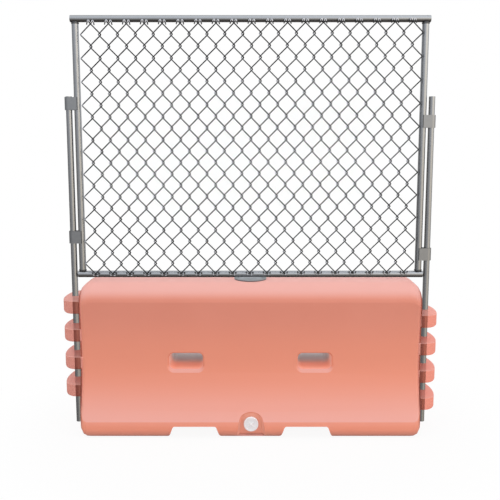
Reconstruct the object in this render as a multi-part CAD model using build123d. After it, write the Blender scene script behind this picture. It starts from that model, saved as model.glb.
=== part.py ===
from build123d import *
import math
import os

# Water-filled barrier that carries a chain-link fence panel on two pins.
# Millimetres, +Z up, length along X, front towards -Y, origin on the floor below the middle.

# Tank: a moulded hollow shell with a wide lip at the foot, a waist and a rounded top
tank_length = 1778.0
tank_height = 788.0
tank_wall = 6.5
foot_width = 500.0
lip_height = 84.0
lip_draft = 6.6
lip_round = 42.0
waist_width = 304.0
waist_height = 400.0
shoulder_width = 334.0
top_round = 94.0
lip_corner = 40.0
lip_corner_sweep = 108.0
end_side_round = 30.0
end_top_round = 67.0
end_foot_round = 60.0
end_round_steps = 5

# Knuckles on the tank's ends, staggered so that a neighbour's knuckles drop between them
knuckle_count = 4
knuckle_pitch = 148.0
knuckle_height = 70.0
knuckle_width = 300.0
knuckle_reach = 97.5
knuckle_corner = 60.0
knuckle_nose_radius = 390.0
knuckle_drop = 90.0
knuckle_stagger = 74.0
knuckle_top_bevel = 2.5
knuckle_foot_round = 20.0
knuckle_root = 90.0
scoop_depth = 12.0
scoop_width = 224.0

# Tunnels for lifting forks, and notches under the foot
fork_spacing = 670.0
fork_width = 175.0
fork_height = 83.0
fork_level = 380.0
fork_corner = 25.0
fork_rim = 12.0
fork_back_rim = 2.0
notch_spacing = 575.4
notch_top_width = 220.6
notch_mouth_width = 265.6
notch_height = 62.0
notch_corner = 14.0
notch_foot_round = 30.0
notch_foot_step = 0.3

# Filling lid on the top, and the drain in its arched recess at the foot
fill_hole_diameter = 150.0
fill_neck_depth = 34.0
lid_diameter = 170.0
lid_thickness = 6.0
lid_dish_diameter = 128.0
lid_dish_depth = 2.5
lid_plug_depth = 24.0
lid_plug_wall = 5.0
lid_clearance = 1.0
lid_seal_thickness = 2.0
lid_seal_width = 7.0
drain_shift = 3.5
drain_level = 66.0
drain_recess_depth = 40.0
drain_sill_height = 8.0
drain_arch_width = 102.0
drain_arch_height = 120.0
drain_arch_corner = 52.0
drain_arch_flare = 0.13
drain_side_draft = 0.3
drain_top_draft = 1.3
drain_back_round = 7.0
drain_stem_diameter = 44.0
drain_stem_length = 36.0
drain_stem_bore = 30.0
drain_head_diameter = 75.0
drain_head_thickness = 16.0
drain_rim_width = 7.0
drain_face_depth = 3.0
drain_clearance = 0.5
drain_seal_thickness = 3.0
drain_seal_width = 9.0

# Tube frame of the fence panel
tube_diameter = 34.9
tube_wall = 2.4
panel_rise = 9.35
panel_height = 1313.2
upright_inset = 44.7
rail_overhang = 24.2
weld_gap = 0.3
end_plug_thickness = 3.0
end_plug_clearance = 0.1

# Pins and the strap brackets that hold the panel to them
pin_diameter = 32.0
pin_wall = 3.5
pin_end_thickness = 6.0
pin_standoff = 46.0
pin_stand = 3.5
pin_knuckle_clearance = 0.4
pin_bracket_clearance = 0.4
bracket_height = 65.0
bracket_strap = 5.0
upper_bracket_rise = 890.2
lower_bracket_rise = 198.2
right_bracket_drop = 90.5

# Woven chain-link fabric on the front of the frame
wire_diameter = 4.9
wire_count = 38
diamond_rows = 11
fabric_side_gap = 30.5
fabric_shift = 6.5
fabric_top_drop = 23.5
fabric_foot_rise = 2.5
fabric_seat = 0.5
weave_clearance = 0.3
bend_overshoot = 3.3
hook_shoulder = 6.0
hook_crown = 12.5
hook_reach = 18.5
hook_tip = 11.0
top_hook_rise = 12.0
foot_hook_rise = 7.0

# Places that follow from the sizes above
tank_end = tank_length / 2
pin_x = tank_end + pin_standoff
pin_radius = pin_diameter / 2
tube_radius = tube_diameter / 2
upright_x = pin_x - upright_inset
rail_length = 2 * (upright_x + rail_overhang)
foot_rail_z = tank_height + panel_rise + tube_radius
top_rail_z = foot_rail_z + panel_height
left_upper_z = foot_rail_z + upper_bracket_rise
left_lower_z = foot_rail_z + lower_bracket_rise
pin_top = left_upper_z + bracket_height / 2 + pin_stand
left_knuckle_top = tank_height - knuckle_drop
right_knuckle_top = left_knuckle_top - knuckle_stagger
drain_seat_y = -(foot_width / 2 - drain_recess_depth)
far = 2 * tank_length


def corner_drop(radius, depth):
    """How far a rounded edge has fallen away at a depth in from the end plane."""
    if depth >= radius:
        return 0.0
    return radius - math.sqrt(radius ** 2 - (radius - depth) ** 2)


def arc(start, middle, end):
    return Edge.make_three_point_arc(start, middle, end)


def tank_section(x, skin, depth):
    """Closed cross-section of the tank in the plane at x, set in by skin on every side."""
    side = skin + corner_drop(end_side_round - skin, depth)
    top = tank_height - skin - corner_drop(end_top_round - skin, depth)
    floor = skin + corner_drop(end_foot_round - skin, depth)
    waist_y = waist_width / 2 - side
    lip_drop = corner_drop(lip_corner - skin, depth) * lip_corner_sweep / lip_corner
    foot_y = max(foot_width / 2 - skin - lip_drop, waist_y + 2 * lip_draft)
    shoulder_y = shoulder_width / 2 - side
    shoulder_round = top_round - side
    shoulder_z = top - shoulder_round
    bow_run = foot_width / 2 - side - lip_draft - waist_y
    bow_rise = waist_height - lip_height
    bow_radius = (bow_run ** 2 + bow_rise ** 2) / (2 * bow_run)
    crease_y = min(foot_y - lip_draft, waist_y + bow_run)
    bow_turn = math.acos(1 - (crease_y - waist_y) / bow_radius)
    crease_z = waist_height - bow_radius * math.sin(bow_turn)
    bow_half = bow_turn / 2
    foot_round = min(lip_round - skin, 0.6 * (crease_z - floor))
    lip_run = foot_y - crease_y
    lip_rise = crease_z - floor - foot_round
    lip_radius = (lip_run ** 2 + lip_rise ** 2) / (2 * lip_run)
    lip_half = math.asin(lip_rise / lip_radius) / 2
    lean_run = shoulder_y - waist_y
    lean_rise = shoulder_z - waist_height
    lean_radius = (lean_run ** 2 + lean_rise ** 2) / (2 * lean_run)
    lean_half = math.asin(lean_rise / lean_radius) / 2
    diagonal = math.sqrt(0.5)

    def half(sign):
        def at(y, z):
            return Vector(x, sign * y, z)

        foot_in = at(foot_y - foot_round, floor)
        foot_mid = at(foot_y - foot_round * (1 - diagonal), floor + foot_round * (1 - diagonal))
        foot_out = at(foot_y, floor + foot_round)
        lip_mid = at(foot_y - lip_radius * (1 - math.cos(lip_half)),
                     floor + foot_round + lip_radius * math.sin(lip_half))
        crease = at(crease_y, crease_z)
        bow_mid = at(waist_y + bow_radius * (1 - math.cos(bow_half)),
                     waist_height - bow_radius * math.sin(bow_half))
        waist = at(waist_y, waist_height)
        lean_mid = at(waist_y + lean_radius * (1 - math.cos(lean_half)),
                      waist_height + lean_radius * math.sin(lean_half))
        shoulder = at(shoulder_y, shoulder_z)
        crown_mid = at(shoulder_y - shoulder_round * (1 - diagonal),
                       top - shoulder_round * (1 - diagonal))
        crown = at(shoulder_y - shoulder_round, top)
        edges = [
            arc(foot_in, foot_mid, foot_out),
            arc(foot_out, lip_mid, crease),
            arc(crease, bow_mid, waist),
            arc(waist, lean_mid, shoulder),
            arc(shoulder, crown_mid, crown),
        ]
        return foot_in, edges, crown

    front_foot, front_edges, front_crown = half(-1)
    back_foot, back_edges, back_crown = half(1)
    ring = [Edge.make_line(back_foot, front_foot), *front_edges,
            Edge.make_line(front_crown, back_crown), *back_edges]
    return Face(Wire(ring))


def tank_body(skin, steps):
    """The tank without its knuckles and cuts: a straight middle and two rounded ends."""
    reach = tank_end - skin
    deepest = max(lip_corner, end_side_round, end_top_round, end_foot_round) - skin
    middle_half = reach - deepest
    middle = extrude(tank_section(-middle_half, skin, deepest), 2 * middle_half, dir=(1, 0, 0))
    ends = []
    for sign in (-1, 1):
        depths = [deepest * (1 - math.cos(math.pi / 2 * step / steps)) for step in range(steps + 1)]
        sections = [tank_section(sign * (reach - depth), skin, depth) for depth in depths]
        ends.append(loft(sections, ruled=True))
    return middle + ends[0] + ends[1]


def knuckle_outline(sign, skin):
    """Plan of one knuckle: straight flanks, rounded corners and a gently bowed nose."""
    half_width = knuckle_width / 2 - skin
    nose = tank_end + knuckle_reach - skin
    corner = knuckle_corner - skin
    bow = knuckle_nose_radius - skin
    bow_x = nose - bow
    corner_y = half_width - corner
    corner_x = bow_x + math.sqrt((bow - corner) ** 2 - corner_y ** 2)
    swing = math.atan2(corner_y, corner_x - bow_x)
    middle = (math.pi / 2 + swing) / 2
    root_x = tank_end - knuckle_root

    def at(x, y):
        return Vector(sign * x, y, 0)

    def corner_at(angle, side):
        return at(corner_x + corner * math.cos(angle), side * (corner_y + corner * math.sin(angle)))

    edges = [
        Edge.make_line(at(root_x, -half_width), at(corner_x, -half_width)),
        arc(at(corner_x, -half_width), corner_at(middle, -1), corner_at(swing, -1)),
        arc(corner_at(swing, -1), at(nose, 0), corner_at(swing, 1)),
        arc(corner_at(swing, 1), corner_at(middle, 1), at(corner_x, half_width)),
        Edge.make_line(at(corner_x, half_width), at(root_x, half_width)),
        Edge.make_line(at(root_x, half_width), at(root_x, -half_width)),
    ]
    return Face(Wire(edges))


def knuckle_tops():
    """Side and top height of every knuckle."""
    for index in range(knuckle_count):
        yield -1, left_knuckle_top - index * knuckle_pitch
        yield 1, right_knuckle_top - index * knuckle_pitch


def knuckle(sign, top, skin):
    block = extrude(knuckle_outline(sign, skin), knuckle_height - 2 * skin, dir=(0, 0, 1))
    if skin == 0:
        rim = [edge for edge in block.edges() if abs(edge.center().X) > tank_end - knuckle_root + 1]
        upper = [edge for edge in rim if edge.bounding_box().min.Z > knuckle_height - 1]
        block = chamfer(upper, knuckle_top_bevel)
        rim = [edge for edge in block.edges() if abs(edge.center().X) > tank_end - knuckle_root + 1]
        lower = [edge for edge in rim if edge.bounding_box().max.Z < 1]
        block = fillet(lower, knuckle_foot_round)
    return Pos(0, 0, top - knuckle_height + skin) * block


def end_scoop(sign, skin):
    """Shallow hollow down the tank's end, where a neighbour's knuckles come close."""
    radius = (scoop_depth ** 2 + (scoop_width / 2) ** 2) / (2 * scoop_depth)
    height = tank_height - end_top_round - lip_height + 2 * skin
    place = Pos(sign * (tank_end - scoop_depth + radius), 0, lip_height - skin)
    return place * Cylinder(radius + skin, height, align=(Align.CENTER, Align.CENTER, Align.MIN))


def fork_tunnel(sign, skin):
    mouth = RectangleRounded(fork_width + 2 * skin, fork_height + 2 * skin, fork_corner + skin)
    place = Plane((sign * fork_spacing / 2, foot_width, fork_level), x_dir=(1, 0, 0), z_dir=(0, -1, 0))
    return extrude(place * mouth, 2 * foot_width)


def foot_notch(sign, skin):
    """Slot under the foot with sloping sides and rounded lower corners, open to the floor."""
    top = notch_height + skin
    floor = skin - notch_foot_step
    below = floor - notch_height
    half_top = notch_top_width / 2 + skin
    half_foot = notch_mouth_width / 2 + skin
    reach = half_foot + 2 * notch_foot_round
    outline = Polyline((-reach, below), (-reach, floor), (-half_foot, floor), (-half_top, top),
                       (half_top, top), (half_foot, floor), (reach, floor), (reach, below), close=True)
    mouth = make_face(outline)
    upper = [corner for corner in mouth.vertices() if corner.Y > top - 1]
    mouth = fillet(upper, notch_corner)
    lower = [corner for corner in mouth.vertices()
             if abs(corner.Y - floor) < 0.1 and abs(abs(corner.X) - half_foot) < 0.1]
    mouth = fillet(lower, notch_foot_round - skin)
    place = Plane((sign * notch_spacing / 2, foot_width, 0), x_dir=(1, 0, 0), z_dir=(0, -1, 0))
    return extrude(place * mouth, 2 * foot_width)


def fork_flare(sign, face, size):
    """Widened mouth of a fork tunnel, at the tank's front or back face."""
    def mouth(out, growth):
        outline = RectangleRounded(fork_width + 2 * growth, fork_height + 2 * growth, fork_corner + growth)
        centre = (sign * fork_spacing / 2, face * (waist_width / 2 + out), fork_level)
        return Plane(centre, x_dir=(1, 0, 0), z_dir=(0, -1, 0)) * outline

    rim = [(-1, 0), (-0.5, 0.134), (-0.134, 0.5), (0.5, 1.6)]
    return loft([mouth(out * size, growth * size) for out, growth in rim], ruled=True)


def drain_recess(skin):
    """Pocket round the drain, over a low sill. Its arch widens and rises from the back wall."""
    sill = drain_sill_height - skin

    def arch(out, shrink):
        y = drain_seat_y + skin - out
        half = drain_arch_width / 2 + skin + drain_side_draft * out - shrink
        corner = min(drain_arch_corner + skin + drain_side_draft * out, half - 1)
        top = drain_arch_height + skin + drain_top_draft * out - shrink
        level = top - corner
        foot = half + drain_arch_flare * (level - sill)
        shoulder = half - corner
        bulge = corner * math.sqrt(0.5)

        def at(x, z):
            return Vector(drain_shift + x, y, z)

        edges = [
            Edge.make_line(at(half, level), at(foot, sill)),
            Edge.make_line(at(foot, sill), at(-foot, sill)),
            Edge.make_line(at(-foot, sill), at(-half, level)),
            arc(at(-half, level), at(-shoulder - bulge, level + bulge), at(-shoulder, top)),
            Edge.make_line(at(-shoulder, top), at(shoulder, top)),
            arc(at(shoulder, top), at(shoulder + bulge, level + bulge), at(half, level)),
        ]
        return Face(Wire(edges))

    back = drain_back_round
    sections = [(0, back), (0.3 * back, 0.3 * back), (back, 0), (2 * drain_recess_depth, 0)]
    return loft([arch(out, shrink) for out, shrink in sections], ruled=True)


def tank_form(skin, steps):
    """The whole tank, or with skin the space inside its walls."""
    form = tank_body(skin, steps)
    for sign in (-1, 1):
        form -= end_scoop(sign, skin)
    for sign, top in knuckle_tops():
        form += knuckle(sign, top, skin)
    for sign in (-1, 1):
        form -= fork_tunnel(sign, skin)
        form -= foot_notch(sign, skin)
    return form - drain_recess(skin)


def upright_bar(x, y, low, high, radius):
    bar = Cylinder(radius, high - low, align=(Align.CENTER, Align.CENTER, Align.MIN))
    return Pos(x, y, low) * bar


def barrier_shell():
    outer = tank_form(0, end_round_steps)
    for sign in (-1, 1):
        outer -= fork_flare(sign, -1, fork_rim)
        outer -= fork_flare(sign, 1, fork_back_rim)
    inner = tank_form(tank_wall, 2)
    bore_radius = pin_radius + pin_knuckle_clearance
    for sign in (-1, 1):
        inner -= upright_bar(sign * pin_x, 0, 0, tank_height, bore_radius + tank_wall)
    fill_radius = fill_hole_diameter / 2
    inner -= upright_bar(0, 0, tank_height - fill_neck_depth, tank_height, fill_radius + tank_wall)
    shell = outer - inner
    shell -= upright_bar(0, 0, tank_height - 2 * fill_neck_depth, tank_height + 1, fill_radius)
    for sign in (-1, 1):
        shell -= upright_bar(sign * pin_x, 0, 0, tank_height, bore_radius)
    drain_bore = Cylinder(drain_stem_diameter / 2 + drain_clearance, 4 * tank_wall)
    return shell - Pos(drain_shift, drain_seat_y, drain_level) * Rot(90, 0, 0) * drain_bore


def ring_of(outer, inner, thickness):
    disc = Cylinder(outer, thickness, align=(Align.CENTER, Align.CENTER, Align.MIN))
    return disc - Cylinder(inner, thickness, align=(Align.CENTER, Align.CENTER, Align.MIN))


def fill_lid_seal():
    outer = lid_diameter / 2 - 1
    return Pos(0, 0, tank_height) * ring_of(outer, outer - lid_seal_width, lid_seal_thickness)


def fill_lid():
    """Flat dished lid with a hollow plug that goes down into the neck."""
    seat = tank_height + lid_seal_thickness
    disc = Cylinder(lid_diameter / 2, lid_thickness, align=(Align.CENTER, Align.CENTER, Align.MIN))
    disc = chamfer(disc.edges().group_by(Axis.Z)[-1], lid_thickness / 4)
    dish = Cylinder(lid_dish_diameter / 2, lid_dish_depth, align=(Align.CENTER, Align.CENTER, Align.MAX))
    plug_radius = fill_hole_diameter / 2 - lid_clearance
    plug = ring_of(plug_radius, plug_radius - lid_plug_wall, lid_plug_depth)
    lid = disc - Pos(0, 0, lid_thickness) * dish + Pos(0, 0, -lid_plug_depth) * plug
    return Pos(0, 0, seat) * lid


def drain_place(out):
    """Plane on the drain's axis, facing the front, a distance out from the recess's back wall."""
    centre = (drain_shift, drain_seat_y - out, drain_level)
    return Plane(centre, x_dir=(1, 0, 0), z_dir=(0, -1, 0))


def drain_seal():
    inner = drain_stem_diameter / 2 + drain_clearance
    return drain_place(0) * ring_of(inner + drain_seal_width, inner, drain_seal_thickness)


def drain_plug():
    """Round headed plug with a raised rim on its face and a hollow stem."""
    radius = drain_head_diameter / 2
    head = Cylinder(radius, drain_head_thickness, align=(Align.CENTER, Align.CENTER, Align.MIN))
    head = fillet(head.edges().group_by(Axis.Z)[-1], drain_rim_width / 3)
    face = Cylinder(radius - drain_rim_width, drain_face_depth,
                    align=(Align.CENTER, Align.CENTER, Align.MAX))
    stem_radius = drain_stem_diameter / 2
    stem = ring_of(stem_radius, drain_stem_bore / 2, drain_stem_length)
    plug = head - Pos(0, 0, drain_head_thickness) * face + Pos(0, 0, -drain_stem_length) * stem
    return drain_place(drain_seal_thickness) * plug


def tube(length):
    """Round tube along +Z from the origin."""
    return ring_of(tube_radius, tube_radius - tube_wall, length)


def rail(level):
    return Pos(-rail_length / 2, 0, level) * Rot(0, 90, 0) * tube(rail_length)


def rail_plug(sign, level):
    disc = Cylinder(tube_radius - tube_wall - end_plug_clearance, end_plug_thickness)
    return Pos(sign * (rail_length - end_plug_thickness) / 2, 0, level) * Rot(0, 90, 0) * disc


def upright(sign):
    """Tube between the rails, its ends cut to the rails' curve."""
    post = Pos(sign * upright_x, 0, foot_rail_z) * tube(panel_height)
    for level in (foot_rail_z, top_rail_z):
        post -= Pos(sign * upright_x, 0, level) * Rot(0, 90, 0) * Cylinder(tube_radius + weld_gap, far)
    return post


def pin(sign):
    """Long tube standing on the floor, closed at its top end."""
    bar = upright_bar(sign * pin_x, 0, 0, pin_top, pin_radius)
    return bar - upright_bar(sign * pin_x, 0, 0, pin_top - pin_end_thickness, pin_radius - pin_wall)


def bracket(sign, level):
    """Flat strap bent in a U round the pin, its two legs cut to the upright's curve."""
    inner = pin_radius + pin_bracket_clearance
    outer = inner + bracket_strap
    strap = SlotCenterToCenter(2 * pin_standoff, 2 * outer)
    strap -= SlotCenterToCenter(2 * pin_standoff, 2 * inner)
    strap = Pos(-sign * pin_standoff, 0) * strap
    strap -= Pos(-sign * upright_inset, 0) * Circle(tube_radius + weld_gap)
    keep = Pos(sign * (outer - upright_inset) / 2, 0) * Rectangle(outer + upright_inset, 4 * outer)
    strap = strap & keep
    return Pos(sign * pin_x, 0, level - bracket_height / 2) * extrude(strap, bracket_height)


half_pitch = (2 * upright_x - 2 * fabric_side_gap) / wire_count
fabric_top_z = top_rail_z - fabric_top_drop
fabric_foot_z = foot_rail_z + fabric_foot_rise
half_row = (fabric_top_z - fabric_foot_z) / (2 * diamond_rows)
wire_half = wire_diameter * math.sqrt(math.pi) / 4
weave_half = (wire_diameter + weave_clearance) / 2
back_y = -(tube_radius + fabric_seat + wire_half)
front_y = back_y - 2 * weave_half


def wire_runs(side):
    """Flat runs of one zigzag wire about x = 0, from its top hook to its foot hook.

    side is the side of the top hook. Runs that fall to the right lie in the front plane of the
    weave and runs that fall to the left lie in the back plane, so that each wire hooks its
    neighbours at every bend.
    """
    knot = side * half_pitch / 2
    bend = half_pitch / 2 + bend_overshoot

    def hook(level, up, rise):
        return [
            (knot + side * hook_reach, level - up * hook_tip),
            (knot + side * hook_crown, level + up * rise),
            (knot + side * hook_shoulder, level + up * (rise - 1)),
            (knot + side * bend_overshoot, level),
        ]

    corners = []
    for row in range(1, 2 * diamond_rows):
        swing = -side if row % 2 else side
        corners.append((swing * bend, fabric_top_z - row * half_row))
    first = [*hook(fabric_top_z, 1, top_hook_rise), corners[0]]
    last = [corners[-1], *reversed(hook(fabric_foot_z, -1, foot_hook_rise))]
    runs = [first, *[list(pair) for pair in zip(corners, corners[1:])], last]
    planes = []
    for run in runs:
        start, end = (run[-2], run[-1]) if run is first else (run[0], run[1])
        planes.append(front_y if end[0] > start[0] else back_y)
    return list(zip(planes, runs))


def heading(start, end):
    length = math.dist(start, end)
    return (end[0] - start[0]) / length, (end[1] - start[1]) / length


def run_rings(run, plane, labels, start_shift, end_shift):
    """Square rings along one flat run, mitred at its inner corners.

    labels are the ring's corners as offsets across the plane and in it. A shift of +1 or -1 at an
    end cuts it on the slant, for the turn to the other plane on that side.
    """
    headings = [heading(start, end) for start, end in zip(run, run[1:])]
    rings = []
    for index, point in enumerate(run):
        before = headings[max(index - 1, 0)]
        after = headings[min(index, len(headings) - 1)]
        scale = 1 + before[0] * after[0] + before[1] * after[1]
        across = (-(before[1] + after[1]) / scale, (before[0] + after[0]) / scale)
        slant = start_shift if index == 0 else end_shift if index == len(run) - 1 else 0
        ring = []
        for depth, offset in labels:
            along = -slant * depth
            x = point[0] + offset * across[0] + along * after[0]
            z = point[1] + offset * across[1] + along * after[1]
            ring.append(Vector(x, plane + depth, z))
        rings.append(ring)
    return rings


def wire_body(side):
    """One wire of square section as a closed solid of flat faces."""
    runs = wire_runs(side)
    corners = [(-wire_half, -wire_half), (-wire_half, wire_half),
               (wire_half, wire_half), (wire_half, -wire_half)]
    labels = corners
    faces = []
    previous = None
    for index, (plane, run) in enumerate(runs):
        start_shift = 0
        end_shift = 0
        if index > 0:
            start_shift = 1 if plane > runs[index - 1][0] else -1
        if index < len(runs) - 1:
            end_shift = 1 if runs[index + 1][0] > plane else -1
        if previous:
            choice = dict(zip(corners, run_rings(run, plane, corners, start_shift, end_shift)[0]))
            labels = [min(corners, key=lambda label: math.dist((choice[label].X, choice[label].Z),
                                                               (old.X, old.Z))) for old in previous]
        rings = run_rings(run, plane, labels, start_shift, end_shift)
        if previous:
            for a, b in ((0, 1), (1, 2), (2, 3), (3, 0)):
                faces.append([previous[a], previous[b], rings[0][b]])
                faces.append([previous[a], rings[0][b], rings[0][a]])
        else:
            faces.append(rings[0])
        for low, high in zip(rings, rings[1:]):
            for a, b in ((0, 1), (1, 2), (2, 3), (3, 0)):
                faces.append([low[a], low[b], high[b], high[a]])
        previous = rings[-1]
    faces.append(previous)
    skin = Shell([Face(Wire.make_polygon(corner_list, close=True)) for corner_list in faces])
    return Solid(skin)


os.makedirs("parts", exist_ok=True)

nodes = {
    "barrier_shell": barrier_shell(),
    "fill_lid_seal": fill_lid_seal(),
    "fill_lid": fill_lid(),
    "drain_seal": drain_seal(),
    "drain_plug": drain_plug(),
    "top_rail": rail(top_rail_z),
    "bottom_rail": rail(foot_rail_z),
}
for name, sign in (("left", -1), ("right", 1)):
    drop = right_bracket_drop if sign > 0 else 0
    nodes[f"{name}_upright"] = upright(sign)
    nodes[f"{name}_pin"] = pin(sign)
    nodes[f"{name}_upper_bracket"] = bracket(sign, left_upper_z - drop)
    nodes[f"{name}_lower_bracket"] = bracket(sign, left_lower_z - drop)
    nodes[f"top_{name}_rail_plug"] = rail_plug(sign, top_rail_z)
    nodes[f"bottom_{name}_rail_plug"] = rail_plug(sign, foot_rail_z)

wires = {side: wire_body(side) for side in (1, -1)}
for index in range(wire_count):
    centre = fabric_shift + (index - (wire_count - 1) / 2) * half_pitch
    nodes[f"mesh_wire_{index + 1:02d}"] = Pos(centre, 0, 0) * wires[-1 if index % 2 else 1]

for name, shape in nodes.items():
    export_step(shape, f"parts/{name}.step")
    print(name, round(shape.volume))
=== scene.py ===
# %% [markdown]
# # A water barrier that carries a fence panel
#
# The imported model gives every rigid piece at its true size: the hollow barrier, its lid and drain
# plug, the tube frame, the pins and the straps. This lesson dresses it. We set the camera and the
# light, build the finishes from a few shared node groups, and then model by hand what a plain solid
# leaves out: the round woven wire, the welds and the grip on the drain plug.

# %% Load the frame
import math
import bpy
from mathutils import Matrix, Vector


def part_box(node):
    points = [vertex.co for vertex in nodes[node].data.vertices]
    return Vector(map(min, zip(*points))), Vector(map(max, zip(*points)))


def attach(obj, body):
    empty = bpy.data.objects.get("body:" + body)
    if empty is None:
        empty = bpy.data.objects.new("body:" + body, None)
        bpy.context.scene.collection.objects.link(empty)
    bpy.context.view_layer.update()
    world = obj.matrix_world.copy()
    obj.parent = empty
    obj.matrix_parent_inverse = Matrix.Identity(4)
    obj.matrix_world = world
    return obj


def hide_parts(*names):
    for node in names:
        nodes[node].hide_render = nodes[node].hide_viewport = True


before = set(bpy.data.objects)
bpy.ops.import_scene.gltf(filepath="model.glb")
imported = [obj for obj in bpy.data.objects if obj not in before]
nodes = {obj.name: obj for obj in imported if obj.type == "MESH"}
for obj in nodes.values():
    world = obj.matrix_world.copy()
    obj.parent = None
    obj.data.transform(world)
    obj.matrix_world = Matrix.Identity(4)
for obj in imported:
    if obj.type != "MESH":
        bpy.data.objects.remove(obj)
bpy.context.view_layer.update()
scene = bpy.context.scene
scene.view_settings.view_transform = "Standard"

# %% [markdown]
# ## Camera
#
# The picture is square and taken from a little over half the fence's height, looking down by about
# eight degrees, so the vertical pins lean together towards the floor. A camera could be turned by a
# constraint to look at the middle, but a plain height, distance and tilt are easier to read, and they
# are what one measures from converging edges.

# %% Set up the camera
camera_place = (-0.0021, -3.865, 1.493)
camera_tilt_down = 8.095
camera_lens, sensor_width = 53.06, 36

bpy.ops.object.select_all(action="DESELECT")
bpy.ops.object.camera_add(location=camera_place, rotation=(math.radians(90 - camera_tilt_down), 0, 0))
camera = bpy.context.object
camera.name = "photo_camera"
camera.data.lens = camera_lens
camera.data.sensor_width = sensor_width
scene.camera = camera
print("camera:", camera.name, "lens", round(camera.data.lens, 2), "mm")

# %% [markdown]
# ## Helpers for nodes
#
# Every material here is a small tree of nodes. One function adds a node, names it and fills its inputs:
# a plain value is set, and another node's output is linked. The nodes line up in rows by themselves.
# Four short functions on top of it cover what nearly every mask needs: arithmetic, a product, a ramp
# from one span to another, and a mix of two colours.

# %% Helpers for nodes
nodes_in_a_row = 8
column_width, row_height = 220, 320


def add_node(tree, kind, label, settings=None, values=None):
    """Adds a named node. A plain value is set on its input, another node's output is linked to it."""
    index = len(tree.nodes)
    node = tree.nodes.new(kind)
    node.name = node.label = label
    node.location = (column_width * (index % nodes_in_a_row), -row_height * (index // nodes_in_a_row))
    for name, setting in (settings or {}).items():
        setattr(node, name, setting)
    for name, value in (values or {}).items():
        if isinstance(value, bpy.types.NodeSocket):
            tree.links.new(value, node.inputs[name])
        else:
            node.inputs[name].default_value = value
    return node


def arithmetic(tree, operation, label, *values):
    """One step of arithmetic on outputs and numbers."""
    node = add_node(tree, "ShaderNodeMath", label, {"operation": operation}, dict(enumerate(values)))
    return node.outputs[0]


def product(tree, label, first, *others):
    """What several masks have in common."""
    for mask in others:
        first = arithmetic(tree, "MULTIPLY", label, first, mask)
    return first


def ramp(tree, label, value, span=(0, 1), result=(0, 1), smooth=False):
    """Carries a value from one span to another, and stops at both ends."""
    settings = {"interpolation_type": "SMOOTHSTEP" if smooth else "LINEAR"}
    ends = {"From Min": span[0], "From Max": span[1], "To Min": result[0], "To Max": result[1]}
    return add_node(tree, "ShaderNodeMapRange", label, settings, {"Value": value, **ends}).outputs[0]


def mix_colours(tree, label, share, first, second, blend="MIX"):
    """Lays a second colour over the first by a share."""
    settings = {"data_type": "RGBA", "blend_type": blend}
    return add_node(tree, "ShaderNodeMix", label, settings, {0: share, 6: first, 7: second}).outputs[2]


print("node helpers ready")

# %% [markdown]
# ## Helpers for materials and groups
#
# A material starts with an empty tree and ends with one shader. A group is worth the trouble when more
# than one finish needs the same effect: it is opened with the first values of its inputs, and closed
# with the sockets that it puts out, under names that the materials can use.

# %% Helpers for materials and groups
FLOAT, COLOUR = "NodeSocketFloat", "NodeSocketColor"


def new_material(name):
    """An empty material and its tree."""
    material = bpy.data.materials.new(name)
    material.use_nodes = True
    material.node_tree.nodes.clear()
    return material, material.node_tree


def show(tree, shader):
    """Ends a material with its shader."""
    add_node(tree, "ShaderNodeOutputMaterial", "surface out", values={"Surface": shader.outputs[0]})


def own_place(tree):
    """The piece's own coordinates."""
    return add_node(tree, "ShaderNodeTexCoord", "place").outputs["Object"]


def parts_of(tree, vector):
    """The X, Y and Z of a vector."""
    return add_node(tree, "ShaderNodeSeparateXYZ", "parts", values={0: vector}).outputs


def open_group(name, inputs):
    """A shader group with named inputs, and the sockets that bring them in."""
    group = bpy.data.node_groups.new(name, "ShaderNodeTree")
    for label, value in inputs.items():
        kind = FLOAT if isinstance(value, float) else COLOUR
        group.interface.new_socket(label, in_out="INPUT", socket_type=kind).default_value = value
    return group, add_node(group, "NodeGroupInput", "group in").outputs


def close_group(group, results):
    """Gives a group its named outputs."""
    for label, socket in results.items():
        kind = COLOUR if socket.type == "RGBA" else FLOAT
        group.interface.new_socket(label, in_out="OUTPUT", socket_type=kind)
    add_node(group, "NodeGroupOutput", "group out", values=results)


print("material helpers ready")

# %% [markdown]
# ## White studio
#
# The object stands on white. The world is white where the camera, a mirror or a clear piece looks at
# it, and softer where it lights the object, so the background is bright and the colours stay as they
# are written. The floor does the same, and near the barrier it keeps a share of its own shading, which
# is the shadow.

# %% World and floor
white = (1, 1, 1, 1)
sky_light = (0.68, 0.69, 0.71, 1)
floor_grey = (0.84, 0.84, 0.84, 1)
floor_size = 60
shadow_fades = (0.9, 1.6)
share_of_white = (0.93, 1.0)


def looked_at(tree):
    """1 where a camera ray, a reflection or a clear piece looks at the surface, else 0."""
    ray = add_node(tree, "ShaderNodeLightPath", "light path").outputs
    either = arithmetic(tree, "MAXIMUM", "camera or mirror", ray["Is Camera Ray"], ray["Is Glossy Ray"])
    return arithmetic(tree, "MAXIMUM", "looked at", either, ray["Is Transmission Ray"])


studio = bpy.data.worlds.new("white_studio")
scene.world = studio
studio.use_nodes = True
tree = studio.node_tree
sky = mix_colours(tree, "sky or white", looked_at(tree), sky_light, white)
tree.links.new(sky, tree.nodes["Background"].inputs["Color"])

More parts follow.
